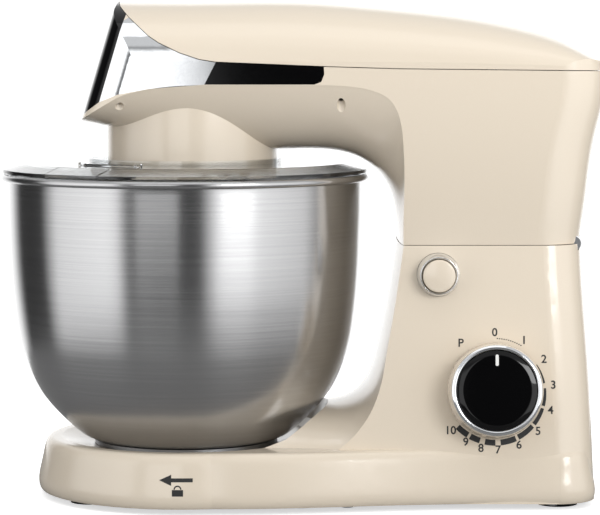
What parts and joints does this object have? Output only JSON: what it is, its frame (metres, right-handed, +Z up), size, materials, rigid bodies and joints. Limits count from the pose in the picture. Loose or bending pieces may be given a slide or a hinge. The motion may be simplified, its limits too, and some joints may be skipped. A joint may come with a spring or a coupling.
{
  "type": "stand mixer",
  "caption": "Tilt-head kitchen stand mixer with planetary flat beater, steel bowl, clear splash guard, side speed knob and release button.",
  "frame": {"origin": "on the table under the middle of the whole object", "axes": "+X from the bowl end to the rear, +Y away from the knob side, +Z up"},
  "size_m": [0.3901, 0.24, 0.3223],
  "materials": {
    "cream_plastic": "glossy moulded cream ABS",
    "dark_plastic": "moulded black plastic",
    "black_gloss": "piano black moulding",
    "chrome": "bright plated",
    "bowl_steel": "stainless steel brushed round the bowl",
    "rubber": "matt",
    "clear_plastic": "clear moulded plastic",
    "steel": "machined",
    "laminated_steel": "stacked laminations",
    "cast_aluminium": "die cast",
    "bronze": "sintered bush",
    "copper": "enamelled winding",
    "carbon": "pressed carbon",
    "circuit_board": "lacquered board"
  },
  "bodies": {
    "base": {"base_shell": "cream_plastic", "bottom_plate": "dark_plastic", "suction_feet": "rubber", "base_screws": "steel", "bowl_seat": "dark_plastic", "cord_inlet": "dark_plastic", "control_board": "circuit_board", "lower_hinge": "steel", "hinge_pin": "steel", "speed_switch": "dark_plastic", "button_bezel": "chrome", "button_guide": "dark_plastic", "button_spring": "steel"},
    "bowl": {"bowl": "bowl_steel", "bowl_foot": "bowl_steel"},
    "knob": {"knob_skirt": "cream_plastic", "knob_ring": "chrome", "knob_face": "black_gloss", "knob_spindle": "steel"},
    "button": {"button_cap": "cream_plastic", "button_plunger": "dark_plastic", "latch_plate": "steel"},
    "head": {"head_top_cover": "cream_plastic", "front_fascia": "black_gloss", "head_lower_housing": "cream_plastic", "chrome_wings": "chrome", "black_strips": "black_gloss", "hub_skirt": "cream_plastic", "upper_hinge": "steel", "latch_strike": "steel", "head_screws": "steel", "ring_gear": "steel", "gearbox_plate": "cast_aluminium", "gearbox_bearings": "bronze", "drive_belt": "rubber", "motor_stator": "laminated_steel", "field_coils": "copper", "motor_brackets": "steel", "motor_bearings": "steel", "carbon_brushes": "carbon", "brush_holders": "dark_plastic", "splash_guard": "clear_plastic"},
    "carrier": {"output_gear": "steel", "carrier_shaft": "steel", "planet_carrier": "cast_aluminium", "planetary_hub": "chrome", "planet_bush": "bronze"},
    "tool": {"planet_gear": "steel", "tool_shaft": "steel", "cross_pin": "steel", "flat_beater": "cast_aluminium"},
    "intermediate": {"drive_pinion": "steel", "intermediate_axle": "steel", "belt_pulley": "dark_plastic"},
    "rotor": {"motor_shaft": "steel", "rotor_core": "laminated_steel", "commutator": "copper", "cooling_fan": "dark_plastic", "motor_pulley": "dark_plastic"},
    "flap": {"pour_flap": "clear_plastic"}
  },
  "joints": [
    {"name": "head_tilt", "type": "hinge", "parent": "base", "child": "head", "pos_m": [0.1758, 0, 0.1665], "axis": [0, 1, 0], "range_deg": [0, 35]},
    {"name": "bowl_twist", "type": "hinge", "parent": "base", "child": "bowl", "pos_m": [-0.075, 0, 0.034], "axis": [0, 0, 1], "range_deg": [-30, 0]},
    {"name": "knob_turn", "type": "hinge", "parent": "base", "child": "knob", "pos_m": [0.1236, -0.06586, 0.075], "axis": [0, 0.9903, -0.1392], "range_deg": [-33, 228]},
    {"name": "button_press", "type": "slide", "parent": "base", "child": "button", "axis": [0, 1, 0], "range_m": [0, 0.004], "stiffness_N_per_m": 900, "springref_m": -0.002, "deforming": ["button_spring"]},
    {"name": "carrier_spin", "type": "hinge", "parent": "head", "child": "carrier", "pos_m": [-0.075, 0, 0.24], "axis": [0, 0, 1], "continuous": true},
    {"name": "tool_spin", "type": "hinge", "parent": "carrier", "child": "tool", "pos_m": [-0.04875, 0, 0.22], "axis": [0, 0, 1], "continuous": true},
    {"name": "intermediate_spin", "type": "hinge", "parent": "head", "child": "intermediate", "pos_m": [-0.028, 0, 0.27], "axis": [0, 0, 1], "continuous": true},
    {"name": "motor_spin", "type": "hinge", "parent": "head", "child": "rotor", "pos_m": [0.125, 0, 0.23], "axis": [0, 0, 1], "continuous": true},
    {"name": "flap_hinge", "type": "hinge", "parent": "head", "child": "flap", "pos_m": [-0.11974, -0.06389, 0.217], "axis": [-0.8192, 0.5736, 0], "range_deg": [0, 70]}
  ],
  "couplings": [
    {"joint": "tool_spin", "follows": "carrier_spin", "ratio": -2.75},
    {"joint": "intermediate_spin", "follows": "carrier_spin", "ratio": -5.7143},
    {"joint": "motor_spin", "follows": "carrier_spin", "ratio": -27.143}
  ]
}
